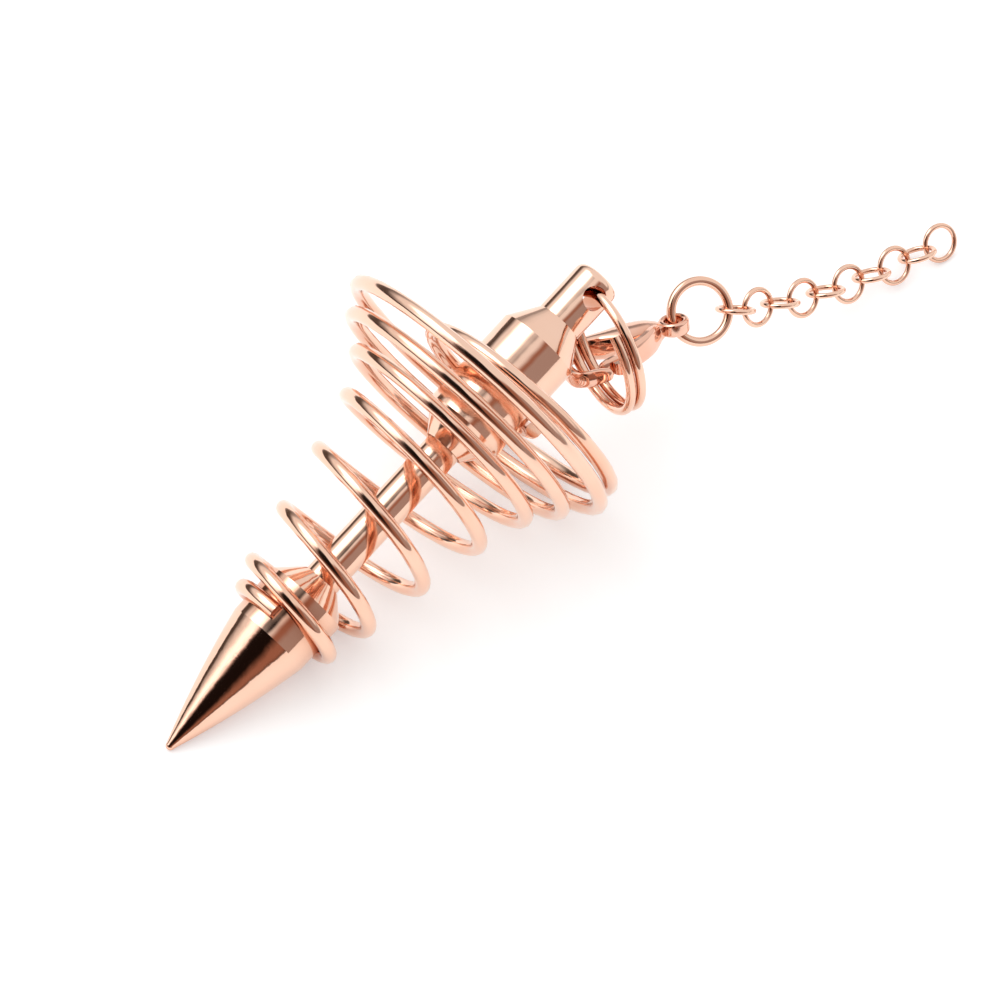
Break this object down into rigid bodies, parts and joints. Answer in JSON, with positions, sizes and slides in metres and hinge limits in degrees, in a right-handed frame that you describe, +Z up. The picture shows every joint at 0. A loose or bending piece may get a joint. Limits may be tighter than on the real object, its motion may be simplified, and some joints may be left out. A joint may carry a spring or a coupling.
{
  "type": "spiral pendulum pendant",
  "caption": "Rose-gold dowsing pendulum: a conical wire spiral winds round a stem between a tapered point and a cap, hung from a clasp and a fine chain.",
  "frame": {"origin": "middle of the whole part seen from above, on the table that it lies on", "axes": "+X runs in plan from the pendant's point to its cap and on along the chain, +Z is up"},
  "size_m": [0.0968, 0.032, 0.0303],
  "materials": {
    "rose_gold": "mirror-polished rose-gold plating"
  },
  "bodies": {
    "pendant": {"point": "rose_gold", "stem": "rose_gold", "cap": "rose_gold", "coil": "rose_gold", "split_ring": "rose_gold", "clasp_body": "rose_gold", "jump_ring": "rose_gold", "chain_link_01": "rose_gold", "chain_link_02": "rose_gold", "chain_link_03": "rose_gold", "chain_link_04": "rose_gold", "chain_link_05": "rose_gold", "chain_link_06": "rose_gold", "chain_link_07": "rose_gold", "chain_link_08": "rose_gold", "chain_link_09": "rose_gold", "chain_link_10": "rose_gold"},
    "lever": {"clasp_lever": "rose_gold"}
  },
  "joints": [
    {"name": "lever_hinge", "type": "hinge", "parent": "pendant", "child": "lever", "pos_m": [0.00913, -0.00426, 0.0103], "axis": [-0.2006, -0.3964, -0.8959], "range_deg": [0, 25], "stiffness_Nm_per_rad": 0.0002, "springref_deg": -11.46}
  ]
}
